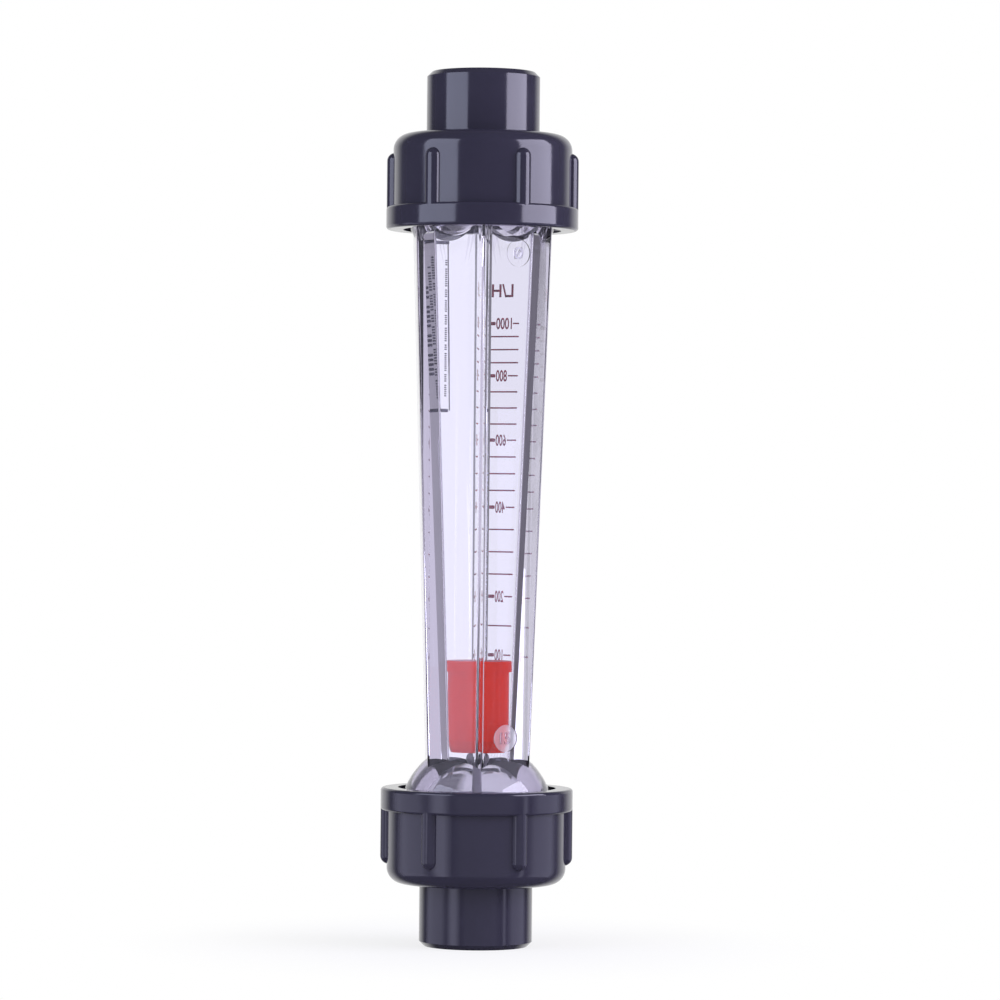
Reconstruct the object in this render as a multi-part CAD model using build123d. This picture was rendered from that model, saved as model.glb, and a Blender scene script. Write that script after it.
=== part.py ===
from build123d import *
import math
import os

# Flow meter of the float type for a 20 mm plastic pipe.
# Millimetres, +Z along the pipe. The origin is the centre of the lower end face.
# The upper end repeats the lower end, turned over about the X axis.

# Overall size
overall_length = 200.0

# Pipe sockets
pipe_diameter = 20.0
pipe_fit_gap = 0.05
pipe_stop_depth = 16.0
socket_wall = 2.9
socket_reach = 14.3
socket_throat_radius = 8.0
socket_edge_chamfer = 1.1
socket_mouth_chamfer = 0.6
flange_radius = 16.9
flange_thickness = 4.0

# Union nuts
nut_length = 21.9
nut_body_radius = 20.5
nut_end_wall = 3.0
nut_shoulder_round = 3.6
nut_hole_gap = 0.35
thrust_gap = 0.1
thread_gap = 0.3
rim_radius = 22.0
rim_height = 5.2
rim_edge_round = 0.7
rib_count = 6
rib_radius = 1.9
rib_end_height = 4.2
lower_rib_turn = -31.5
upper_rib_turn = -33.5

# Clear tube: a tapered hexagon outside and inside, with a round threaded collar at each end.
# A height is measured up from the lower end face, a depth down from the upper one.
tube_turn = 3.0
facet_count = 6
body_low_height = 44.3
body_high_depth = 38.4
body_low_corner = 13.48
body_high_corner = 17.77
body_corner_round = 0.9
bore_low_apothem = 5.96
bore_high_apothem = 10.23
bore_corner_round = 0.9
collar_radius = 17.75
collar_straight = 7.95
bell_radius = 12.8
size_pad_radius = 3.1
size_pad_depth = 0.3
upper_pad_depth = 42.0
lower_pad_height = 48.0

# Float stops: three arms in a seat in the tube's end, and a ball-headed pin on the axis
stop_reach = 13.8
stop_thickness = 1.8
stop_fit_gap = 0.1
arm_count = 3
arm_width = 2.0
arm_turn = -55.0
pin_root_radius = 1.6
pin_neck_radius = 0.85
pin_head_radius = 1.45
lower_tip_height = 44.5
upper_tip_depth = 34.0

# Seal rings, squeezed in a groove in the flange face
seal_circle_radius = 15.2
seal_width = 2.0
seal_height = 1.8
seal_corner_round = 0.7
seal_side_gap = 0.05

# Float: a red cup with a head flange, weighted with a steel slug
float_length = 20.9
float_head_height = 2.5
float_head_gap = 0.22
float_body_step = 0.58
float_chamfer_length = 2.7
float_chamfer_depth = 0.85
float_wall = 1.3
float_floor = 1.6
float_plug_height = 1.5
float_inner_gap = 0.05

# Places worked out from the sizes above
bore_radius = pipe_diameter / 2 + pipe_fit_gap
socket_radius = bore_radius + socket_wall
nut_hole_radius = socket_radius + nut_hole_gap
nut_bore_radius = collar_radius + thread_gap
nut_top_height = socket_reach + nut_length
flange_low_height = socket_reach + nut_end_wall + thrust_gap
tube_end_height = flange_low_height + flange_thickness
dome_height = tube_end_height + collar_straight
mid_height = overall_length / 2
body_high_height = overall_length - body_high_depth
upper_pad_height = overall_length - upper_pad_depth
upper_tip_height = overall_length - upper_tip_depth


def corner_radius_at(height):
    """Outside corner radius of the hexagonal body at a height."""
    share = (height - body_low_height) / (body_high_height - body_low_height)
    return body_low_corner + share * (body_high_corner - body_low_corner)


def bore_apothem_at(height):
    """Distance from the axis to a flat of the hexagonal bore at a height."""
    share = (height - body_low_height) / (body_high_height - body_low_height)
    return bore_low_apothem + share * (bore_high_apothem - bore_low_apothem)


def turned_over(piece):
    """A lower-end piece, turned over about the X axis to the upper end."""
    return Pos(0, 0, overall_length) * Rot(180, 0, 0) * piece


def hexagon_at(height, corner_radius, corner_round, turn):
    """A hexagon with rounded corners, one of them towards -Y and turned towards +X."""
    corners = []
    for index in range(facet_count):
        angle = math.radians(turn + index * 360 / facet_count - 90)
        corners.append((corner_radius * math.cos(angle), corner_radius * math.sin(angle)))
    outline = make_face(Polyline(*corners, close=True))
    rounded = fillet(outline.vertices(), corner_round)
    return Pos(0, 0, height) * rounded


def revolved(points):
    """A solid turned about Z from points of (radius, height)."""
    profile = make_face(Polyline(*[(radius, 0, height) for radius, height in points], close=True))
    return revolve(profile, axis=Axis.Z)


def make_socket():
    """Lower pipe socket: spigot end, pipe bore with its stop, and the flange that the nut holds."""
    body = revolved([
        (socket_throat_radius, pipe_stop_depth),
        (bore_radius, pipe_stop_depth),
        (bore_radius, socket_mouth_chamfer),
        (bore_radius + socket_mouth_chamfer, 0),
        (socket_radius - socket_edge_chamfer, 0),
        (socket_radius, socket_edge_chamfer),
        (socket_radius, flange_low_height),
        (flange_radius, flange_low_height),
        (flange_radius, tube_end_height),
        (socket_throat_radius, tube_end_height),
    ])
    groove_inner = seal_circle_radius - seal_width / 2 - seal_side_gap
    groove_outer = seal_circle_radius + seal_width / 2 + seal_side_gap
    groove_floor = tube_end_height - seal_height
    groove = revolved([
        (groove_inner, groove_floor),
        (groove_outer, groove_floor),
        (groove_outer, tube_end_height),
        (groove_inner, tube_end_height),
    ])
    return body - groove


def make_seal_ring():
    """Lower seal ring, squeezed flat between the groove floor and the tube's end face."""
    section = Plane.XZ * Pos(seal_circle_radius, tube_end_height - seal_height / 2)
    profile = section * RectangleRounded(seal_width, seal_height, seal_corner_round)
    return revolve(profile, axis=Axis.Z)


def make_nut(rib_turn):
    """Lower union nut: end wall, rounded shoulder, plain rim and round grip ribs."""
    shell = Pos(0, 0, socket_reach) * Cylinder(
        nut_body_radius, nut_length, align=(Align.CENTER, Align.CENTER, Align.MIN)
    )
    shell = fillet(shell.edges().sort_by(Axis.Z)[0], nut_shoulder_round)
    rim = Pos(0, 0, nut_top_height) * Cylinder(
        rim_radius, rim_height, align=(Align.CENTER, Align.CENTER, Align.MAX)
    )
    rim = fillet(rim.edges().filter_by(GeomType.CIRCLE), rim_edge_round)
    nut = shell + rim
    rib_axis_radius = rim_radius - rib_radius
    rib_low = socket_reach + rib_end_height + rib_radius
    rib_high = nut_top_height - rim_height / 2
    rib = Pos(0, 0, rib_low) * Cylinder(
        rib_radius, rib_high - rib_low, align=(Align.CENTER, Align.CENTER, Align.MIN)
    )
    rib = rib + Pos(0, 0, rib_low) * Sphere(rib_radius)
    for index in range(rib_count):
        angle = rib_turn - 90 + index * 360 / rib_count
        nut = nut + Rot(0, 0, angle) * Pos(rib_axis_radius, 0, 0) * rib
    hole = Pos(0, 0, socket_reach) * Cylinder(
        nut_hole_radius, nut_end_wall, align=(Align.CENTER, Align.CENTER, Align.MIN)
    )
    cavity = Pos(0, 0, socket_reach + nut_end_wall) * Cylinder(
        nut_bore_radius, nut_length - nut_end_wall, align=(Align.CENTER, Align.CENTER, Align.MIN)
    )
    return nut - hole - cavity


def make_tube_end():
    """Solid lower end of the tube: the collar and the domed shoulder above it."""
    collar = Pos(0, 0, tube_end_height) * Cylinder(
        collar_radius, collar_straight, align=(Align.CENTER, Align.CENTER, Align.MIN)
    )
    dome = Pos(0, 0, dome_height) * Sphere(collar_radius)
    below = Pos(0, 0, dome_height) * Cylinder(
        2 * collar_radius, 2 * collar_radius, align=(Align.CENTER, Align.CENTER, Align.MAX)
    )
    return collar + (dome - below)


def make_tube_end_hollow():
    """Hollow of the lower end: the stop's seat, a round bore and the bell above it."""
    seat_radius = stop_reach + stop_fit_gap
    seat = Pos(0, 0, tube_end_height) * Cylinder(
        seat_radius, stop_thickness, align=(Align.CENTER, Align.CENTER, Align.MIN)
    )
    straight = Pos(0, 0, tube_end_height) * Cylinder(
        bell_radius, collar_straight, align=(Align.CENTER, Align.CENTER, Align.MIN)
    )
    bell = Pos(0, 0, dome_height) * Sphere(bell_radius)
    below = Pos(0, 0, dome_height) * Cylinder(
        2 * bell_radius, 2 * bell_radius, align=(Align.CENTER, Align.CENTER, Align.MAX)
    )
    return seat + straight + (bell - below)


def make_size_pad(height):
    """Shallow round recess on the front right facet, where a size mark is moulded."""
    apothem = corner_radius_at(height) * math.cos(math.pi / facet_count)
    high_apothem = body_high_corner * math.cos(math.pi / facet_count)
    low_apothem = body_low_corner * math.cos(math.pi / facet_count)
    lean = math.degrees(math.atan2(high_apothem - low_apothem, body_high_height - body_low_height))
    facing = tube_turn + 180 / facet_count - 90
    cutter = Cylinder(size_pad_radius, 2 * size_pad_depth)
    return Rot(0, 0, facing) * Pos(apothem, 0, height) * Rot(0, 90 + lean, 0) * cutter


def make_metering_tube():
    """Clear metering tube, moulded in one piece."""
    low = dome_height
    high = overall_length - dome_height
    body = loft([
        hexagon_at(low, corner_radius_at(low), body_corner_round, tube_turn),
        hexagon_at(high, corner_radius_at(high), body_corner_round, tube_turn),
    ], ruled=True)
    end = make_tube_end()
    tube = body + end + turned_over(end)
    sleeve = Pos(0, 0, mid_height) * Cylinder(collar_radius, overall_length)
    tube = tube & sleeve
    bore_corner_scale = 1 / math.cos(math.pi / facet_count)
    bore = loft([
        hexagon_at(low, bore_apothem_at(low) * bore_corner_scale, bore_corner_round, tube_turn),
        hexagon_at(high, bore_apothem_at(high) * bore_corner_scale, bore_corner_round, tube_turn),
    ], ruled=True)
    hollow = make_tube_end_hollow()
    tube = tube - bore - hollow - turned_over(hollow)
    for height in (lower_pad_height, upper_pad_height):
        tube = tube - make_size_pad(height)
    return tube


def make_float_stop(tip_rise):
    """Lower float stop: three arms and the pin whose ball head stands at a rise."""
    arm_low = tube_end_height
    arm_high = arm_low + stop_thickness
    head_height = tip_rise - pin_head_radius
    pin = Pos(0, 0, arm_high) * Cone(
        pin_root_radius, pin_neck_radius, head_height - arm_high, align=(Align.CENTER, Align.CENTER, Align.MIN)
    )
    stop = pin + Pos(0, 0, head_height) * Sphere(pin_head_radius)
    round_end = Cylinder(stop_reach, 2 * overall_length)
    for index in range(arm_count):
        angle = arm_turn - 90 + index * 360 / arm_count
        arm = Pos(0, 0, arm_low) * Box(
            stop_reach, arm_width, stop_thickness, align=(Align.MIN, Align.CENTER, Align.MIN)
        )
        stop = stop + Rot(0, 0, angle) * (arm & round_end)
    return stop


def make_float():
    """Float pieces at rest on the lower stop: cup, steel slug and cap with the head flange."""
    low = lower_tip_height
    high = low + float_length
    head_low = high - float_head_height
    head_radius = bore_apothem_at(head_low) - float_head_gap
    body_radius = head_radius - float_body_step
    cavity_radius = body_radius - float_wall
    slug_top = head_low - float_plug_height - float_inner_gap
    cup = revolved([
        (0, low),
        (body_radius - float_chamfer_depth, low),
        (body_radius, low + float_chamfer_length),
        (body_radius, head_low),
        (cavity_radius, head_low),
        (cavity_radius, low + float_floor),
        (0, low + float_floor),
    ])
    slug = revolved([
        (0, low + float_floor),
        (cavity_radius - float_inner_gap, low + float_floor),
        (cavity_radius - float_inner_gap, slug_top),
        (0, slug_top),
    ])
    cap = revolved([
        (0, head_low - float_plug_height),
        (cavity_radius - float_inner_gap, head_low - float_plug_height),
        (cavity_radius - float_inner_gap, head_low),
        (head_radius, head_low),
        (head_radius, high),
        (0, high),
    ])
    rim_edge = cap.edges().filter_by(GeomType.CIRCLE).sort_by(Axis.Z)[-1]
    cap = fillet(rim_edge, float_head_height / 8)
    return cup, slug, cap


def main():
    """Build every piece and write one STEP file for each."""
    os.makedirs("parts", exist_ok=True)
    cup, slug, cap = make_float()
    pieces = {
        "metering_tube": make_metering_tube(),
        "lower_union_nut": make_nut(lower_rib_turn),
        "upper_union_nut": turned_over(make_nut(180 - upper_rib_turn)),
        "lower_socket": make_socket(),
        "upper_socket": turned_over(make_socket()),
        "lower_seal_ring": make_seal_ring(),
        "upper_seal_ring": turned_over(make_seal_ring()),
        "lower_float_stop": make_float_stop(lower_tip_height),
        "upper_float_stop": turned_over(make_float_stop(upper_tip_depth)),
        "float_cup": cup,
        "float_weight": slug,
        "float_cap": cap,
    }
    for name, piece in pieces.items():
        export_step(piece, f"parts/{name}.step")
    travel = upper_tip_height - lower_tip_height - float_length
    print("float travel", round(travel, 3))


main()
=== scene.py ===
"""Looks of a float type flow meter for a 20 mm pipe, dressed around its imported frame.

The CAD frame gives the clear tube, the union nuts, the pipe sockets, the stops and the float.
This script gives every surface its finish and adds the printed scale, the label, the moulded
size marks and the threads. Lengths are in millimetres, and in metres in the studio.
"""

from __future__ import annotations

import itertools
import logging
import math
from dataclasses import dataclass, field
from enum import Enum

import bpy
from mathutils import Matrix, Vector


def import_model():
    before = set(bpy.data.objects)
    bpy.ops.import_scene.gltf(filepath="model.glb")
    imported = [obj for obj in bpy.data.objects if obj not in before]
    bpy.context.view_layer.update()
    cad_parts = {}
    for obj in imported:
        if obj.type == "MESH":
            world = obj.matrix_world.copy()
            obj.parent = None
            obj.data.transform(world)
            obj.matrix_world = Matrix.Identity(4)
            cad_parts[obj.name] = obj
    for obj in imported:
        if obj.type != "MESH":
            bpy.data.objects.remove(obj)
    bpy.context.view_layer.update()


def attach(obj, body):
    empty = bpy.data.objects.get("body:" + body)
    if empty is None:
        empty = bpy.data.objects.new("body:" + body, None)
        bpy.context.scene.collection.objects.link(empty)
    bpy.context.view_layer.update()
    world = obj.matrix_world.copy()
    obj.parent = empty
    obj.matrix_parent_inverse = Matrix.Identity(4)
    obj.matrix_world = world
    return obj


LOG = logging.getLogger("flow_meter")
MM = 0.001
WHITE = "#FFFFFF"

Colour = tuple[float, float, float, float]


def hex_colour(code: str) -> Colour:
    """Turn an sRGB hex code into linear colour.

    Args:
        code: Six hex digits with a leading hash sign.

    Returns:
        Linear red, green and blue, and an alpha of one.
    """
    channels = [int(code[i:i + 2], 16) / 255 for i in (1, 3, 5)]
    linear = [c / 12.92 if c <= 0.04045 else ((c + 0.055) / 1.055) ** 2.4 for c in channels]
    return (linear[0], linear[1], linear[2], 1.0)


def per_mm(length: float) -> float:
    """Scale of a texture, in repeats per metre, whose feature has this length."""
    return 1.0 / (length * MM)


class Facet(Enum):
    """Facets of the hexagonal tube, anticlockwise from above, from the right one in front."""

    FRONT_RIGHT = 0
    RIGHT = 1
    BACK_RIGHT = 2
    BACK_LEFT = 3
    LEFT = 4
    FRONT_LEFT = 5


class End(Enum):
    """The two ends of the meter."""

    LOWER = "lower"
    UPPER = "upper"


# Shader nodes

# Sockets of the Mix node's colours, which share their names with its other kinds of value
MIX_FIRST = 6
MIX_SECOND = 7
MIX_RESULT = 2
# Factor that the wave texture itself puts on its scale
WAVE_FACTOR = 20


def set_inputs(
    tree: bpy.types.NodeTree, node: bpy.types.Node, inputs: dict[str | int, object]
) -> None:
    """Set the inputs of a node.

    Args:
        tree: The node tree.
        node: The node.
        inputs: A value, or the socket that is linked in, by the input's name or number.
    """
    for name, value in inputs.items():
        if isinstance(value, bpy.types.NodeSocket):
            tree.links.new(value, node.inputs[name])
        else:
            node.inputs[name].default_value = value


def add_node(
    tree: bpy.types.NodeTree,
    kind: str,
    inputs: dict[str | int, object] | None = None,
    **attributes: object,
) -> bpy.types.Node:
    """Add one shader node with its settings and links.

    Args:
        tree: The node tree.
        kind: The node's type name.
        inputs: A value, or the socket that is linked in, by the input's name or number.
        attributes: The node's own options.

    Returns:
        The new node.
    """
    node = tree.nodes.new(kind)
    for name, value in attributes.items():
        setattr(node, name, value)
    set_inputs(tree, node, inputs or {})
    return node


def new_material(name: str) -> tuple[bpy.types.Material, bpy.types.NodeTree, bpy.types.Node]:
    """Start a material.

    Args:
        name: The real material's name.

    Returns:
        The material, its node tree and its Principled node.
    """
    material = bpy.data.materials.new(name)
    material.use_nodes = True
    tree = material.node_tree
    return material, tree, tree.nodes["Principled BSDF"]


def object_place(tree: bpy.types.NodeTree) -> bpy.types.NodeSocket:
    """Add the place of a surface point in its piece's own coordinates."""
    return add_node(tree, "ShaderNodeTexCoord").outputs["Object"]


def noise(
    tree: bpy.types.NodeTree, place: bpy.types.NodeSocket, size: float, detail: float
) -> bpy.types.NodeSocket:
    """Add a noise texture.

    Args:
        tree: The node tree.
        place: Its coordinates.
        size: Length of its features.
        detail: How many finer layers it has.

    Returns:
        Its value, from zero to one.
    """
    inputs = {"Vector": place, "Scale": per_mm(size), "Detail": detail}
    return add_node(tree, "ShaderNodeTexNoise", inputs).outputs["Fac"]


def bump(
    tree: bpy.types.NodeTree, height: bpy.types.NodeSocket, depth: float
) -> bpy.types.NodeSocket:
    """Add a bump.

    Args:
        tree: The node tree.
        height: The texture that gives its height.
        depth: Height of the whole texture.

    Returns:
        The bumped normal.
    """
    inputs = {"Height": height, "Strength": 1.0, "Distance": depth * MM}
    return add_node(tree, "ShaderNodeBump", inputs).outputs["Normal"]


def blend(
    tree: bpy.types.NodeTree, share: bpy.types.NodeSocket, first: str, second: str
) -> bpy.types.NodeSocket:
    """Add a blend of two colours.

    Args:
        tree: The node tree.
        share: Share of the second colour.
        first: The first colour's hex code.
        second: The second colour's hex code.

    Returns:
        The blended colour.
    """
    inputs = {"Factor": share, MIX_FIRST: hex_colour(first), MIX_SECOND: hex_colour(second)}
    return add_node(tree, "ShaderNodeMix", inputs, data_type="RGBA").outputs[MIX_RESULT]


def map_range(
    tree: bpy.types.NodeTree,
    value: bpy.types.NodeSocket,
    low: bpy.types.NodeSocket | float,
    high: bpy.types.NodeSocket | float,
    start: float = 0.0,
    end: float = 1.0,
    **attributes: object,
) -> bpy.types.NodeSocket:
    """Add a clamped map from one range to another.

    Args:
        tree: The node tree.
        value: What is mapped.
        low: The result at the start.
        high: The result at the end.
        start: Where the value's range starts.
        end: Where it ends.
        attributes: The node's own options.

    Returns:
        The mapped value.
    """
    inputs = {"Value": value, "From Min": start, "From Max": end, "To Min": low, "To Max": high}
    return add_node(tree, "ShaderNodeMapRange", inputs, **attributes).outputs["Result"]


def maths(
    tree: bpy.types.NodeTree, operation: str, *values: bpy.types.NodeSocket | float
) -> bpy.types.NodeSocket:
    """Add one step of arithmetic.

    Args:
        tree: The node tree.
        operation: The Math node's operation.
        values: What it works on.

    Returns:
        Its result.
    """
    inputs = dict(enumerate(values))
    return add_node(tree, "ShaderNodeMath", inputs, operation=operation).outputs[0]


# Finishes


@dataclass(frozen=True)
class MouldedPlastic:
    """An opaque injection moulded plastic: even colour, faint flow mottling and a fine skin."""

    name: str
    colour: str
    flow_colour: str
    roughness: float
    ior: float
    specular: float = 0.5
    roughness_spread: float = 0.05
    flow_size: float = 9.0
    flow_detail: float = 3.0
    skin_size: float = 0.45
    skin_detail: float = 2.0
    skin_depth: float = 0.0008

    def material(self) -> bpy.types.Material:
        """Build the node material.

        Returns:
            The material.
        """
        material, tree, shader = new_material(self.name)
        place = object_place(tree)
        flow = noise(tree, place, self.flow_size, self.flow_detail)
        skin = noise(tree, place, self.skin_size, self.skin_detail)
        smoothest = self.roughness - self.roughness_spread
        roughest = self.roughness + self.roughness_spread
        set_inputs(tree, shader, {
            "Base Color": blend(tree, flow, self.colour, self.flow_colour),
            "Roughness": map_range(tree, flow, smoothest, roughest),
            "IOR": self.ior,
            "Specular IOR Level": self.specular,
            "Normal": bump(tree, skin, self.skin_depth),
        })
        return material


@dataclass(frozen=True)
class ClearPlastic:
    """A clear styrene moulding with the slight waves that its mould leaves in it."""

    name: str
    colour: str
    ior: float
    roughness: float
    clearness: float = 1.0
    wave_size: float = 14.0
    wave_detail: float = 1.0
    wave_depth: float = 0.008

    def material(self) -> bpy.types.Material:
        """Build the node material.

        Returns:
            The material.
        """
        material, tree, shader = new_material(self.name)
        wave = noise(tree, object_place(tree), self.wave_size, self.wave_detail)
        set_inputs(tree, shader, {
            "Base Color": hex_colour(self.colour),
            "Roughness": self.roughness,
            "IOR": self.ior,
            "Transmission Weight": self.clearness,
            "Normal": bump(tree, wave, self.wave_depth),
        })
        return material


@dataclass(frozen=True)
class TurnedMetal:
    """A turned metal part: fine rings from the lathe tool around its axis."""

    name: str
    colour: str
    roughness: float
    ring_pitch: float = 0.4
    ring_stray: float = 0.4
    ring_detail: float = 1.0
    ring_depth: float = 0.01

    def material(self) -> bpy.types.Material:
        """Build the node material.

        Returns:
            The material.
        """
        material, tree, shader = new_material(self.name)
        inputs = {
            "Vector": object_place(tree),
            "Scale": per_mm(self.ring_pitch) / WAVE_FACTOR,
            "Distortion": self.ring_stray,
            "Detail": self.ring_detail,
        }
        rings = add_node(tree, "ShaderNodeTexWave", inputs, bands_direction="Z")
        set_inputs(tree, shader, {
            "Base Color": hex_colour(self.colour),
            "Metallic": 1.0,
            "Roughness": self.roughness,
            "Normal": bump(tree, rings.outputs["Fac"], self.ring_depth),
        })
        return material


@dataclass(frozen=True)
class PrintedInk:
    """Screen printed ink: a thin matt film, a little uneven where the screen laid it.

    The ink begins to thin where the noise reaches the thin start, up to the thin end.
    """

    name: str
    colour: str
    thin_colour: str
    roughness: float = 0.6
    patch_size: float = 0.5
    patch_detail: float = 2.0
    thin_start: float = 0.45
    thin_end: float = 0.75

    def material(self) -> bpy.types.Material:
        """Build the node material.

        Returns:
            The material.
        """
        material, tree, shader = new_material(self.name)
        patches = noise(tree, object_place(tree), self.patch_size, self.patch_detail)
        thinness = map_range(tree, patches, 0.0, 1.0, self.thin_start, self.thin_end)
        set_inputs(tree, shader, {
            "Base Color": blend(tree, thinness, self.colour, self.thin_colour),
            "Roughness": self.roughness,
        })
        return material


# Rigid PVC, injection moulded and semi-gloss: a dark violet grey that mirrors the lamps in
# strips with clear edges
PVC = MouldedPlastic(
    "Rigid PVC, moulded dark grey", "#2C2A38", "#312F3D", roughness=0.12, ior=1.53
)
# Styrene acrylonitrile, moulded clear and polished: water clear with a breath of violet
CLEAR_TUBE = ClearPlastic(
    "Styrene acrylonitrile, moulded clear", "#F6F5FE", ior=1.57, roughness=0.0
)
# The same plastic in the thick domed ends, where the mould is less polished: softer, a bit milky
CLEAR_ENDS = ClearPlastic(
    "Styrene acrylonitrile, moulded satin", "#E8E5F4", ior=1.57, roughness=0.03, clearness=0.93
)
# The same plastic in the lower size mark's recess, where the mould is spark eroded: frosted
FROSTED_PAD = ClearPlastic(
    "Styrene acrylonitrile, moulded frosted", "#F6F5FE", ior=1.57, roughness=0.3, clearness=0.8
)
# ABS, moulded red: even, opaque and satin, with only faint mirror images of the lamps
RED_FLOAT = MouldedPlastic(
    "ABS, moulded red", "#E2260C", "#EA3012", roughness=0.2, ior=1.54, specular=0.12, flow_size=6.0
)
# Polypropylene, moulded grey: waxy and matt
GREY_STOP = MouldedPlastic(
    "Polypropylene, moulded grey", "#8B8893", "#95929D", roughness=0.4, ior=1.49
)
# Nitrile rubber: black and dull
SEAL_RUBBER = MouldedPlastic(
    "Nitrile rubber, moulded black", "#141414", "#1B1B1B", roughness=0.6, ior=1.52
)
# Stainless steel, turned: bright rings round the slug
SLUG_STEEL = TurnedMetal("Stainless steel, turned", "#B4B4B2", roughness=0.3)
# Screen ink for the scale: crimson, thinner in patches
SCALE_INK = PrintedInk("Screen printing ink, crimson", "#A00E1E", "#C03A48")
# Screen ink for the label: a violet black
LABEL_INK = PrintedInk("Screen printing ink, black", "#3E3B4A", "#6A6776")


# Modelling tools

# Rounding of a printed bar's corners, as a share of its height
BAR_ROUNDING = 0.3
# Segments of each rounded corner and edge
ROUNDING_SEGMENTS = 2
# Segments of each curve in a figure's outline
FIGURE_SEGMENTS = 6
# Half a figure's thickness before it is fitted
FIGURE_EXTRUDE = 0.5
# Points of a figure that are closer than this merge
MERGE_GAP = 0.002


def leave_edit_mode() -> None:
    """Go back to object mode with nothing selected."""
    if bpy.context.object is not None and bpy.context.object.mode != "OBJECT":
        bpy.ops.object.mode_set(mode="OBJECT")
    bpy.ops.object.select_all(action="DESELECT")


def select_only(piece: bpy.types.Object) -> None:
    """Make one object the only selected one, and the active one.

    Args:
        piece: The object.
    """
    leave_edit_mode()
    piece.select_set(True)
    bpy.context.view_layer.objects.active = piece


def face_outwards() -> None:
    """Turn the faces of the mesh that is being edited outwards, and stop editing it."""
    bpy.ops.mesh.select_all(action="SELECT")
    bpy.ops.mesh.normals_make_consistent(inside=False)
    leave_edit_mode()


def rename(piece: bpy.types.Object, name: str) -> None:
    """Give a piece and its mesh one name."""
    piece.name = name
    piece.data.name = name


def join(pieces: list[bpy.types.Object], name: str) -> bpy.types.Object:
    """Join several meshes into one named piece.

    Args:
        pieces: The meshes.
        name: The joined piece's name.

    Returns:
        The joined piece.
    """
    select_only(pieces[0])
    for piece in pieces:
        piece.select_set(True)
    bpy.ops.object.join()
    rename(pieces[0], name)
    leave_edit_mode()
    return pieces[0]


def placed_copy(piece: bpy.types.Object, place: Matrix) -> bpy.types.Object:
    """Copy a piece with a mesh of its own and move the mesh to its place.

    Args:
        piece: The piece that repeats, modelled at the origin.
        place: Where the copy goes, in metres.

    Returns:
        The copy, its object at the origin.
    """
    copy = piece.copy()
    copy.data = piece.data.copy()
    copy.data.transform(place)
    bpy.context.scene.collection.objects.link(copy)
    return copy


def dress(piece: bpy.types.Object, material: bpy.types.Material) -> None:
    """Give a piece one material in place of all it had."""
    piece.data.materials.clear()
    piece.data.materials.append(material)


def printed_bar(length: float, height: float, film: float) -> bpy.types.Object:
    """Model a printed bar with rounded ends, flat in X and Y and as thick as its ink.

    Args:
        length: Size along X.
        height: Size along Y.
        film: Thickness of the ink.

    Returns:
        The bar, centred on the origin.
    """
    leave_edit_mode()
    bpy.ops.mesh.primitive_plane_add(size=1.0)
    bar = bpy.context.object
    bar.data.transform(Matrix.Diagonal((length * MM, height * MM, 1.0, 1.0)))
    rounding = height * BAR_ROUNDING * MM
    bpy.ops.object.mode_set(mode="EDIT")
    bpy.ops.mesh.select_all(action="SELECT")
    bpy.ops.mesh.bevel(offset=rounding, segments=ROUNDING_SEGMENTS, affect="VERTICES")
    bpy.ops.mesh.select_all(action="SELECT")
    bpy.ops.mesh.extrude_region_move(TRANSFORM_OT_translate={"value": (0.0, 0.0, film * MM)})
    face_outwards()
    return bar


def lettering(
    words: str, height: float, width: float, depth: float, weight: float
) -> bpy.types.Object:
    """Model figures as a mesh that fits a given height and width.

    Args:
        words: What the figures say.
        height: Height of the figures along Y.
        width: Width of all of them along X.
        depth: Thickness along Z.
        weight: Thickening of the strokes, as a share of the figures' size.

    Returns:
        The mesh, centred on the origin, its back at zero height.
    """
    leave_edit_mode()
    bpy.ops.object.text_add()
    text = bpy.context.object
    text.data.body = words
    text.data.size = 1.0
    text.data.resolution_u = FIGURE_SEGMENTS
    text.data.extrude = FIGURE_EXTRUDE
    text.data.offset = weight
    bpy.ops.object.convert(target="MESH")
    piece = bpy.context.object
    low = Vector([min(v.co[i] for v in piece.data.vertices) for i in range(3)])
    high = Vector([max(v.co[i] for v in piece.data.vertices) for i in range(3)])
    middle = (low + high) / 2
    middle.z = low.z
    wanted = (width, height, depth)
    scale = Vector([wanted[i] / (high[i] - low[i]) for i in range(3)]) * MM
    piece.data.transform(Matrix.Diagonal((*scale, 1.0)) @ Matrix.Translation(-middle))
    bpy.ops.object.mode_set(mode="EDIT")
    bpy.ops.mesh.select_all(action="SELECT")
    bpy.ops.mesh.remove_doubles(threshold=MERGE_GAP * MM)
    face_outwards()
    return piece


def round_edges(piece: bpy.types.Object, width: float) -> None:
    """Round the sharp edges of a piece.

    Args:
        piece: The piece.
        width: Width of the rounding.
    """
    select_only(piece)
    rounding = piece.modifiers.new("edge_round", "BEVEL")
    rounding.width = width * MM
    rounding.segments = ROUNDING_SEGMENTS
    rounding.limit_method = "ANGLE"
    bpy.ops.object.modifier_apply(modifier=rounding.name)
    leave_edit_mode()


# Sub-assemblies

# Degrees from each facet of the tube to the next
FACET_ANGLE = 60.0


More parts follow.
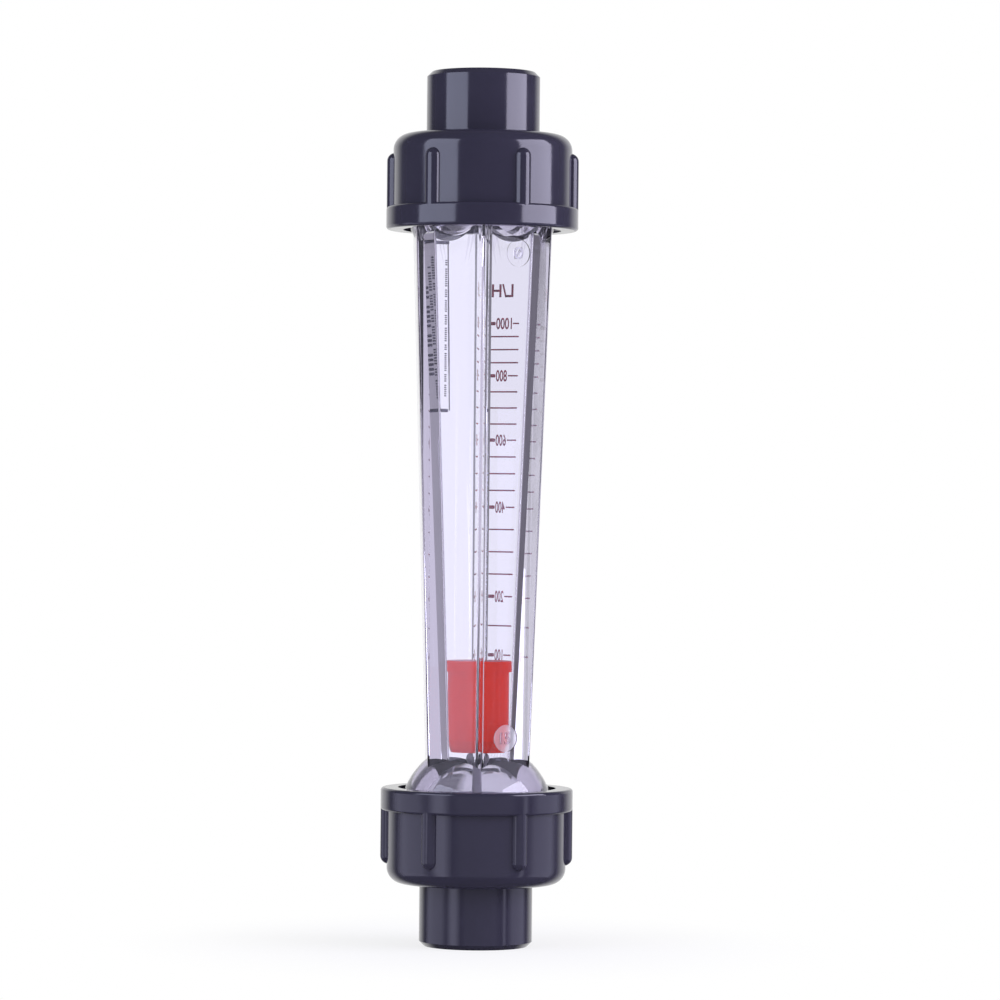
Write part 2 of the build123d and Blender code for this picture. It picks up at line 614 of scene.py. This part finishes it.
@dataclass
class HexagonalTube:
    """The clear tube's outside, which carries the print, and its own finish."""

    turn: float = 3.0
    low_height: float = 44.3
    high_height: float = 161.6
    low_corner: float = 13.48
    high_corner: float = 17.77
    pad_height: float = 48.0
    pad_radius: float = 3.15
    pad_depth: float = 0.3
    pad_tolerance: float = 0.1

    def corner_radius(self, height: float) -> float:
        """Corner radius of the outside at a height."""
        share = (height - self.low_height) / (self.high_height - self.low_height)
        return self.low_corner + share * (self.high_corner - self.low_corner)

    def apothem(self, height: float) -> float:
        """Distance from the axis to the outside of a facet at a height."""
        return self.corner_radius(height) * math.cos(math.radians(FACET_ANGLE / 2))

    def facet_place(self, facet: Facet, across: float, height: float, lift: float) -> Matrix:
        """Place for a flat mark on a facet, seen from outside the tube.

        Args:
            facet: The facet.
            across: Distance from the facet's middle line, towards its right hand corner.
            height: Height above the lower end face.
            lift: Distance of the mark's back from the facet.

        Returns:
            The matrix that takes X to the facet's right, Y up the facet and Z out of it.
        """
        angle = math.radians(self.turn + FACET_ANGLE * facet.value + FACET_ANGLE / 2)
        widening = self.apothem(self.high_height) - self.apothem(self.low_height)
        lean = math.atan2(widening, self.high_height - self.low_height)
        right = Vector((math.cos(angle), math.sin(angle), 0.0))
        level = Vector((math.sin(angle), -math.cos(angle), 0.0))
        up = Vector((0.0, 0.0, 1.0)) * math.cos(lean) + level * math.sin(lean)
        out = right.cross(up)
        foot = level * self.apothem(height) + right * across + Vector((0.0, 0.0, height))
        place = Matrix((right, up, out)).transposed().to_4x4()
        place.translation = (foot + out * lift) * MM
        return place

    def dress(self) -> None:
        """Make the tube clear, its domed ends softer and the lower size mark's recess frosted."""
        tube = bpy.data.objects["metering_tube"]
        dress(tube, CLEAR_TUBE.material())
        for finish in (CLEAR_ENDS, FROSTED_PAD):
            tube.data.materials.append(finish.material())
        ends, frosted = 1, 2
        pad = self.facet_place(Facet.FRONT_RIGHT, 0.0, self.pad_height, -self.pad_depth)
        to_pad = pad.inverted()
        for face in tube.data.polygons:
            off_pad = to_pad @ face.center
            on_floor = abs(off_pad.z) < self.pad_tolerance * MM
            if not self.low_height * MM < face.center.z < self.high_height * MM:
                face.material_index = ends
            elif on_floor and off_pad.xy.length < self.pad_radius * MM:
                face.material_index = frosted
        LOG.info("metering_tube: clear plastic")


@dataclass
class FlowScale:
    """The printed scale on the back right facet, which is read through the tube.

    Near and far are distances from the tube's back corner. The shares are of a mark's length,
    and a figure's share is for each digit.
    """

    tube: HexagonalTube
    facet: Facet = Facet.BACK_RIGHT
    film: float = 0.02
    lift: float = 0.01
    line: float = 0.34
    thick_line: float = 0.8
    thick_share: float = 0.27
    figure_share: float = 0.13
    figure_gap: float = 0.25
    line_gap: float = 0.1
    least_line: float = 1.0
    figure_height: float = 2.7
    figure_weight: float = 0.02
    unit_height: float = 150.5
    unit_figure_height: float = 3.1
    unit_width: float = 5.6
    unit_shift: float = 0.2
    top_height: float = 142.9
    top_near: float = 2.2
    top_far: float = 10.5
    low_height: float = 79.8
    low_near: float = 2.9
    low_far: float = 9.2
    labelled: dict[int, float] = field(
        default_factory=lambda: {
            100: 66.3, 200: 79.8, 400: 100.4, 600: 115.9, 800: 130.8, 1000: 142.9
        }
    )
    step: int = 50

    def mark_height(self, flow: int) -> float:
        """Height of a mark, spaced evenly between its labelled neighbours.

        Args:
            flow: What the mark stands for, in litres an hour.

        Returns:
            The height.
        """
        below = max(mark for mark in self.labelled if mark <= flow)
        above = min(mark for mark in self.labelled if mark >= flow)
        share = (flow - below) / max(above - below, 1)
        return self.labelled[below] + share * (self.labelled[above] - self.labelled[below])

    def reach(self, height: float) -> tuple[float, float]:
        """Near and far ends of a mark.

        Args:
            height: The mark's height.

        Returns:
            The near end and the far end.
        """
        share = (height - self.low_height) / (self.top_height - self.low_height)
        near = self.low_near + share * (self.top_near - self.low_near)
        far = self.low_far + share * (self.top_far - self.low_far)
        return near, far

    def place(self, from_corner: float, height: float) -> Matrix:
        """Place for a mark at a distance from the back corner."""
        across = self.tube.corner_radius(height) / 2 - from_corner
        return self.tube.facet_place(self.facet, across, height, self.lift)

    def bar(self, near: float, far: float, thickness: float, height: float) -> bpy.types.Object:
        """Print one bar.

        Args:
            near: Its near end.
            far: Its far end.
            thickness: How high the bar itself is.
            height: Where it stands.

        Returns:
            The bar.
        """
        piece = printed_bar(far - near, thickness, self.film)
        piece.data.transform(self.place((near + far) / 2, height))
        return piece

    def figures(
        self, words: str, size: float, width: float, from_corner: float, height: float
    ) -> bpy.types.Object:
        """Print figures.

        Args:
            words: What they say.
            size: How high the figures themselves are.
            width: Width of all of them.
            from_corner: Distance of their middle from the back corner.
            height: Where they stand.

        Returns:
            The figures.
        """
        piece = lettering(words, size, width, self.film, self.figure_weight)
        piece.data.transform(self.place(from_corner, height))
        return piece

    def labelled_mark(self, flow: int, height: float) -> list[bpy.types.Object]:
        """Print a mark with figures: a thick dash by the corner, the figures and a thin dash.

        Args:
            flow: What the figures say.
            height: Where the mark stands.

        Returns:
            The mark's parts.
        """
        near, far = self.reach(height)
        words = str(flow)
        dash_end = near + self.thick_share * (far - near)
        figures_end = dash_end + self.figure_share * (far - near) * len(words)
        width = figures_end - dash_end - self.figure_gap
        middle = (dash_end + figures_end) / 2
        line_start = min(figures_end + self.line_gap, far - self.least_line)
        number = self.figures(words, self.figure_height, width, middle, height)
        return [
            self.bar(near, dash_end, self.thick_line, height),
            number,
            self.bar(line_start, far, self.line, height),
        ]

    def unit(self) -> bpy.types.Object:
        """Print the unit above the scale, litres an hour.

        Returns:
            The letters.
        """
        near, far = self.reach(self.unit_height)
        middle = (near + far) / 2 - self.unit_shift
        return self.figures(
            "L/H", self.unit_figure_height, self.unit_width, middle, self.unit_height
        )

    def build(self) -> bpy.types.Object:
        """Build the scale as one piece of print.

        Returns:
            The piece.
        """
        marks = [self.unit()]
        for flow in range(min(self.labelled), max(self.labelled) + 1, self.step):
            height = self.mark_height(flow)
            if flow in self.labelled:
                marks += self.labelled_mark(flow, height)
            else:
                marks.append(self.bar(*self.reach(height), self.line, height))
        piece = join(marks, "scale_print")
        dress(piece, SCALE_INK.material())
        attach(piece, "meter_body")
        LOG.info("scale_print: %d faces", len(piece.data.polygons))
        return piece


@dataclass(frozen=True)
class TextLine:
    """A line that runs up the label: a small plain bar in the place of each letter.

    A letter's size is its bar's length across the line. The bar's other side, the pitch of the
    letters and the gap between words are shares of that size.
    """

    from_corner: float
    letter: float
    low: float
    high: float
    word_lengths: tuple[int, ...] = (6, 4, 9, 3, 7, 5)
    bar_share: float = 0.5
    pitch_share: float = 0.8
    gap_share: float = 0.9

    def letter_heights(self) -> list[float]:
        """Find where the letters stand, in words with a gap between them.

        Returns:
            Their heights.
        """
        heights: list[float] = []
        height = self.low
        lengths = itertools.cycle(self.word_lengths)
        while height < self.high:
            for _ in range(next(lengths)):
                heights.append(height)
                height += self.pitch_share * self.letter
            height += self.gap_share * self.letter
        return [height for height in heights if height < self.high]


@dataclass
class DataLabel:
    """The printed label on the back left facet: a frame, and bars where the words would be.

    Near and far are distances from the tube's back corner.
    """

    tube: HexagonalTube
    facet: Facet = Facet.BACK_LEFT
    film: float = 0.02
    lift: float = 0.01
    near: float = 8.2
    far: float = 16.0
    low: float = 122.6
    high: float = 161.4
    side_line: float = 0.4
    end_line: float = 0.8
    lines: tuple[TextLine, ...] = (
        TextLine(9.0, 0.6, 126.0, 158.0),
        TextLine(11.7, 0.7, 128.0, 152.0, (4, 8, 5)),
        TextLine(12.9, 1.35, 131.0, 152.0, (5, 3)),
        TextLine(14.1, 0.8, 125.5, 156.0, (7, 3, 6)),
        TextLine(15.1, 0.75, 126.0, 158.0, (3, 9, 5)),
    )

    def place(self, from_corner: float, height: float) -> Matrix:
        """Place for a mark at a distance from the back corner."""
        across = from_corner - self.tube.corner_radius(height) / 2
        return self.tube.facet_place(self.facet, across, height, self.lift)

    def frame(self) -> list[bpy.types.Object]:
        """Print the label's frame.

        Returns:
            Its four lines.
        """
        parts: list[bpy.types.Object] = []
        for height in (self.low, self.high):
            line = printed_bar(self.far - self.near, self.end_line, self.film)
            line.data.transform(self.place((self.near + self.far) / 2, height))
            parts.append(line)
        for side in (self.near, self.far):
            line = printed_bar(self.side_line, self.high - self.low, self.film)
            line.data.transform(self.place(side, (self.low + self.high) / 2))
            parts.append(line)
        return parts

    def build(self) -> bpy.types.Object:
        """Build the label as one piece of print.

        Returns:
            The piece.
        """
        parts = self.frame()
        for line in self.lines:
            letter = printed_bar(line.letter, line.bar_share * line.letter, self.film)
            for height in line.letter_heights():
                parts.append(placed_copy(letter, self.place(line.from_corner, height)))
            bpy.data.objects.remove(letter)
        piece = join(parts, "label_print")
        dress(piece, LABEL_INK.material())
        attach(piece, "meter_body")
        LOG.info("label_print: %d faces", len(piece.data.polygons))
        return piece


@dataclass
class SizeMarks:
    """The raised size marks in the two round recesses of the front right facet.

    Each mark has its words, the height of its middle and its width.
    """

    tube: HexagonalTube
    facet: Facet = Facet.FRONT_RIGHT
    height: float = 2.7
    relief: float = 0.28
    lift: float = 0.01
    edge: float = 0.03
    weight: float = 0.01
    marks: dict[str, tuple[str, float, float]] = field(
        default_factory=lambda: {"size_sign": ("Ø", 158.0, 2.4), "size_number": ("15", 48.0, 2.6)}
    )

    def build(self, material: bpy.types.Material) -> list[bpy.types.Object]:
        """Build the marks in the tube's own plastic.

        Args:
            material: The tube's finish.

        Returns:
            The pieces.
        """
        pieces = []
        lift = self.lift - self.tube.pad_depth
        for name, (words, level, width) in self.marks.items():
            piece = lettering(words, self.height, width, self.relief, self.weight)
            round_edges(piece, self.edge)
            piece.data.transform(self.tube.facet_place(self.facet, 0.0, level, lift))
            rename(piece, name)
            dress(piece, material)
            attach(piece, "meter_body")
            pieces.append(piece)
            LOG.info("%s: %d faces", name, len(piece.data.polygons))
        return pieces


@dataclass
class UnionNut:
    """A union nut: its PVC and the thread inside its rim.

    Half the thread's width at its root is the root share of its pitch, and its crest is the
    crest share of its root. The ridge's foot sinks into the nut, so that no gap shows.
    """

    end: End
    bore_radius: float = 18.05
    crest_radius: float = 17.84
    pitch: float = 2.0
    sink: float = 0.15
    root_share: float = 0.36
    crest_share: float = 0.3
    first_turn: float = 23.4
    turns: int = 6
    overall_length: float = 200.0
    segments: int = 96

    def thread(self) -> bpy.types.Object:
        """Model the thread as one ridge that winds round the nut's bore.

        Returns:
            The ridge.
        """
        leave_edit_mode()
        bpy.ops.mesh.primitive_circle_add(vertices=4, radius=1.0, fill_type="NOTHING")
        ridge = bpy.context.object
        foot = self.bore_radius + self.sink
        root = self.pitch * self.root_share
        crest = root * self.crest_share
        corners = (
            (foot, -root),
            (foot, root),
            (self.crest_radius, crest),
            (self.crest_radius, -crest),
        )
        for vertex, (radius, rise) in zip(ridge.data.vertices, corners):
            vertex.co = (radius * MM, 0.0, (self.first_turn + rise) * MM)
        screw = ridge.modifiers.new("thread", "SCREW")
        screw.axis = "Z"
        screw.angle = 2 * math.pi
        screw.screw_offset = self.pitch * MM
        screw.iterations = self.turns
        screw.steps = self.segments
        screw.render_steps = self.segments
        screw.use_merge_vertices = False
        bpy.ops.object.modifier_apply(modifier=screw.name)
        bpy.ops.object.mode_set(mode="EDIT")
        bpy.ops.mesh.select_all(action="DESELECT")
        bpy.ops.mesh.select_non_manifold(extend=False)
        bpy.ops.mesh.edge_face_add()
        face_outwards()
        return ridge

    def build(self, material: bpy.types.Material) -> bpy.types.Object:
        """Dress the nut and add its thread.

        Args:
            material: The finish.

        Returns:
            The thread.
        """
        dress(bpy.data.objects[f"{self.end.value}_union_nut"], material)
        thread = self.thread()
        if self.end is End.UPPER:
            flip = Matrix.Rotation(math.pi, 4, "X")
            thread.data.transform(Matrix.Translation((0.0, 0.0, self.overall_length * MM)) @ flip)
        rename(thread, f"{self.end.value}_nut_thread")
        dress(thread, material)
        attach(thread, f"{self.end.value}_nut")
        LOG.info("%s: %d faces", thread.name, len(thread.data.polygons))
        return thread


@dataclass
class Fittings:
    """The sockets, seals, stops and the float, which keep their CAD shapes."""

    finishes: dict[str, MouldedPlastic | TurnedMetal] = field(
        default_factory=lambda: {
            "lower_seal_ring": SEAL_RUBBER,
            "upper_seal_ring": SEAL_RUBBER,
            "lower_float_stop": GREY_STOP,
            "upper_float_stop": GREY_STOP,
            "float_cup": RED_FLOAT,
            "float_cap": RED_FLOAT,
            "float_weight": SLUG_STEEL,
        }
    )

    def build(self, pvc: bpy.types.Material) -> None:
        """Dress each piece.

        Args:
            pvc: The finish that the sockets share with the nuts.
        """
        made: dict[str, bpy.types.Material] = {}
        for end in End:
            dress(bpy.data.objects[f"{end.value}_socket"], pvc)
        for node, finish in self.finishes.items():
            if finish.name not in made:
                made[finish.name] = finish.material()
            dress(bpy.data.objects[node], made[finish.name])
            LOG.info("%s: %s", node, finish.name)


# Studio

# Brightness of the strips at a lamp's faded edge, as shares of the lamp's, the outer one first
FADE_SHARES = (0.33, 0.67)


@dataclass(frozen=True)
class Softbox:
    """A soft lamp that stands on an arc round the meter.

    Its sides are at two angles in degrees, which count from the camera towards the right. Its
    low and high ends and its distance are in metres. A radiance of one looks white.
    """

    name: str
    left_angle: float
    right_angle: float
    low: float
    high: float
    radiance: float
    colour: str = "#E2E2FF"
    fade: float = 0.0
    shows_through: bool = False
    shows_in_gloss: bool = True
    distance: float = 1.0

    def panel(self, name: str, left_angle: float, right_angle: float, radiance: float) -> None:
        """Add one even panel of the lamp, facing the meter.

        Args:
            name: The panel's name.
            left_angle: Its left side.
            right_angle: Its right side.
            radiance: How bright it looks.
        """
        middle = math.radians((left_angle + right_angle) / 2)
        half = math.radians((right_angle - left_angle) / 2)
        width = 2 * self.distance * math.tan(half)
        height = self.high - self.low
        light = bpy.data.lights.new(name, "AREA")
        light.shape = "RECTANGLE"
        light.size = width
        light.size_y = height
        light.energy = radiance * math.pi * width * height
        light.color = hex_colour(self.colour)[:3]
        lamp = bpy.data.objects.new(name, light)
        lamp.location = (
            self.distance * math.sin(middle),
            -self.distance * math.cos(middle),
            (self.low + self.high) / 2,
        )
        lamp.rotation_euler = (math.pi / 2, 0.0, middle)
        lamp.visible_camera = False
        lamp.visible_transmission = self.shows_through
        lamp.visible_glossy = self.shows_in_gloss
        bpy.context.scene.collection.objects.link(lamp)
        LOG.info("%s: %.2f by %.2f m", name, width, height)

    def build(self) -> None:
        """Add the lamp, with dimmer strips on both sides where it fades."""
        left = self.left_angle + self.fade
        right = self.right_angle - self.fade
        self.panel(self.name, left, right, self.radiance)
        if self.fade == 0:
            return
        strip = self.fade / len(FADE_SHARES)
        for step, share in enumerate(FADE_SHARES):
            left = self.left_angle + step * strip
            right = self.right_angle - step * strip
            radiance = share * self.radiance
            self.panel(f"{self.name}_left_{step}", left, left + strip, radiance)
            self.panel(f"{self.name}_right_{step}", right - strip, right, radiance)


@dataclass
class Studio:
    """White sweep, soft lamps and the camera.

    Lengths are in metres, apart from the sensor's width and what is in the photograph's pixels.
    Mirrors see the backdrop where a direction's Y passes from its start to its end. The flag's
    direction and width are in degrees, and its soft edge is in radians.
    """

    lamps: tuple[Softbox, ...] = (
        Softbox("left_softbox", -81.0, -32.0, 0.19, 0.95, 3.6, "#DDE2FF"),
        Softbox("right_softbox", 48.0, 98.0, 0.19, 0.95, 6.5, "#E8E4FF"),
        Softbox("left_low_panel", -60.0, -32.0, -0.45, 0.19, 1.7, fade=8.0),
        # Nearer than the panel's strips, because lamps in one plane hide each other
        Softbox(
            "left_float_strip",
            -58.0,
            -50.0,
            -0.3,
            0.19,
            1.4,
            shows_through=True,
            shows_in_gloss=False,
            distance=0.98,
        ),
        Softbox("left_side_panel", -120.0, -62.0, -0.45, 0.0, 1.1, fade=10.0),
        Softbox("right_low_strip", 57.0, 64.0, -0.45, 0.0, 1.4, fade=2.0),
        Softbox("right_side_panel", 70.0, 120.0, -0.45, 0.0, 1.0, fade=8.0),
        Softbox("front_low_panel", -30.0, 50.0, -0.45, 0.0, 0.3, fade=8.0),
        Softbox(
            "front_float_strip", 44.0, 52.0, -0.3, 0.19, 4.5, shows_through=True, shows_in_gloss=False
        ),
        Softbox(
            "side_float_strip", 75.0, 82.0, -0.3, 0.19, 5.0, shows_through=True, shows_in_gloss=False
        ),
    )
    fill_strength: float = 0.5
    glossy_strength: float = 0.1
    backdrop_strength: float = 0.95
    backdrop_start: float = 0.6
    backdrop_end: float = 0.8
    scattered_strength: float = 1.4
    mirrored_strength: float = 0.68
    mirrored_colour: str = "#F1EAFF"
    flag_direction: float = -15.0
    flag_width: float = 20.0
    flag_soft_edge: float = 0.03
    flag_strength: float = 0.2
    floor_radius: float = 3.0
    floor_sides: int = 128
    floor_colour: str = "#F2F1F4"
    floor_roughness: float = 0.9
    shadow_strength: float = 0.78
    shadow_start: float = 0.02
    shadow_end: float = 0.09
    camera_distance: float = 1.03
    camera_height: float = 0.1
    near_clip: float = 0.01
    sensor_width: float = 36.0
    pixels_per_mm: float = 4.365
    picture_width: float = 1000.0
    middle_x: float = 479.5
    middle_y: float = 509.0
    roll: float = 0.56

    def world(self) -> None:
        """Light the scene: white for the camera and through the plastic, and a softer fill."""
        world = bpy.data.worlds.new("studio")
        bpy.context.scene.world = world
        world.use_nodes = True
        tree = world.node_tree
        rays = add_node(tree, "ShaderNodeLightPath").outputs
        through = rays["Is Transmission Ray"]
        direction = add_node(tree, "ShaderNodeTexCoord").outputs["Generated"]
        parts = add_node(tree, "ShaderNodeSeparateXYZ", {0: direction}).outputs
        # The fill, which is dim in mirrors apart from the backdrop behind the meter
        backdrop = map_range(
            tree,
            parts["Y"],
            self.glossy_strength,
            self.backdrop_strength,
            self.backdrop_start,
            self.backdrop_end,
        )
        fill = map_range(tree, rays["Is Glossy Ray"], self.fill_strength, backdrop)
        # White behind the plastic: brighter on matt surfaces in it, dimmer where a wall mirrors
        scattered = maths(tree, "MINIMUM", rays["Diffuse Depth"], 1.0)
        mirrored = maths(tree, "MINIMUM", rays["Glossy Depth"], 1.0)
        clear = map_range(tree, scattered, 1.0, self.scattered_strength)
        behind = map_range(tree, mirrored, clear, self.mirrored_strength)
        seen = maths(tree, "MAXIMUM", rays["Is Camera Ray"], through)
        strength = map_range(tree, seen, fill, behind)
        inner_mirror = maths(tree, "MULTIPLY", mirrored, through)
        set_inputs(tree, tree.nodes["Background"], {
            "Color": blend(tree, inner_mirror, WHITE, self.mirrored_colour),
            "Strength": maths(tree, "MULTIPLY", strength, self.flag(tree, parts, through)),
        })

    def flag(
        self,
        tree: bpy.types.NodeTree,
        parts: bpy.types.NodeOutputs,
        through: bpy.types.NodeSocket,
    ) -> bpy.types.NodeSocket:
        """Hang a dark card behind the meter, just outside the picture, as for glassware.

        The clear plastic alone shows it, as dark lines along the tube's walls.

        Args:
            tree: The world's node tree.
            parts: The direction's X, Y and Z.
            through: One for light that comes through the plastic.

        Returns:
            The factor that the card leaves of the light.
        """
        angle = maths(tree, "ARCTAN2", parts["X"], parts["Y"])
        off_middle = maths(tree, "SUBTRACT", angle, math.radians(self.flag_direction))
        distance = maths(tree, "ABSOLUTE", off_middle)
        half = math.radians(self.flag_width / 2)
        outer, inner = half + self.flag_soft_edge, half - self.flag_soft_edge
        inside = map_range(tree, distance, 0.0, 1.0, outer, inner)
        seen = maths(tree, "MULTIPLY", inside, through)
        return map_range(tree, seen, 1.0, self.flag_strength)

    def floor(self) -> None:
        """Lay a pale round floor: white to the camera far out, with a soft shadow by the meter."""
        leave_edit_mode()
        bpy.ops.mesh.primitive_circle_add(
            vertices=self.floor_sides, radius=self.floor_radius, fill_type="NGON"
        )
        floor = bpy.context.object
        floor.name = "floor"
        # Matt white vinyl: it takes the meter's shadow close by and is plain white further out
        material, tree, shader = new_material("Studio sweep, matt white vinyl")
        set_inputs(tree, shader, {
            "Base Color": hex_colour(self.floor_colour),
            "Roughness": self.floor_roughness,
        })
        place = object_place(tree)
        distance = add_node(tree, "ShaderNodeVectorMath", {0: place}, operation="LENGTH")
        whiteness = map_range(
            tree,
            distance.outputs["Value"],
            self.shadow_strength,
            1.0,
            self.shadow_start,
            self.shadow_end,
            interpolation_type="SMOOTHSTEP",
        )
        rays = add_node(tree, "ShaderNodeLightPath").outputs
        share = maths(tree, "MULTIPLY", rays["Is Camera Ray"], whiteness)
        glow = {"Color": hex_colour(WHITE), "Strength": 1.0}
        white = add_node(tree, "ShaderNodeEmission", glow).outputs["Emission"]
        surfaces = {0: share, 1: shader.outputs["BSDF"], 2: white}
        mix = add_node(tree, "ShaderNodeMixShader", surfaces)
        set_inputs(tree, tree.nodes["Material Output"], {"Surface": mix.outputs[0]})
        dress(floor, material)
        floor.visible_glossy = False
        floor.visible_transmission = False
        leave_edit_mode()

    def camera(self) -> None:
        """Add a long lens at half the meter's height, rolled a little as in the photograph."""
        data = bpy.data.cameras.new("camera")
        camera = bpy.data.objects.new("camera", data)
        bpy.context.scene.collection.objects.link(camera)
        seen_width = self.picture_width / self.pixels_per_mm * MM
        data.sensor_width = self.sensor_width
        data.lens = self.sensor_width * self.camera_distance / seen_width
        data.shift_x = (self.picture_width / 2 - self.middle_x) / self.picture_width
        data.shift_y = (self.middle_y - self.picture_width / 2) / self.picture_width
        data.clip_start = self.near_clip
        camera.location = (0.0, -self.camera_distance, self.camera_height)
        upright = Matrix.Rotation(math.pi / 2, 3, "X")
        rolled = upright @ Matrix.Rotation(math.radians(self.roll), 3, "Z")
        camera.rotation_euler = rolled.to_euler()
        bpy.context.scene.camera = camera

    def build(self) -> None:
        """Set the studio up."""
        bpy.context.scene.view_settings.view_transform = "Standard"
        self.world()
        self.floor()
        for lamp in self.lamps:
            lamp.build()
        self.camera()


def main() -> None:
    """Dress the frame, add what it lacks, and set up the studio."""
    logging.basicConfig(level=logging.INFO, format="%(name)s: %(message)s")
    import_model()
    pvc = PVC.material()
    tube = HexagonalTube()
    tube.dress()
    FlowScale(tube).build()
    DataLabel(tube).build()
    SizeMarks(tube).build(bpy.data.objects["metering_tube"].data.materials[0])
    for end in End:
        UnionNut(end).build(pvc)
    Fittings().build(pvc)
    Studio().build()


if __name__ == "__main__":
    main()
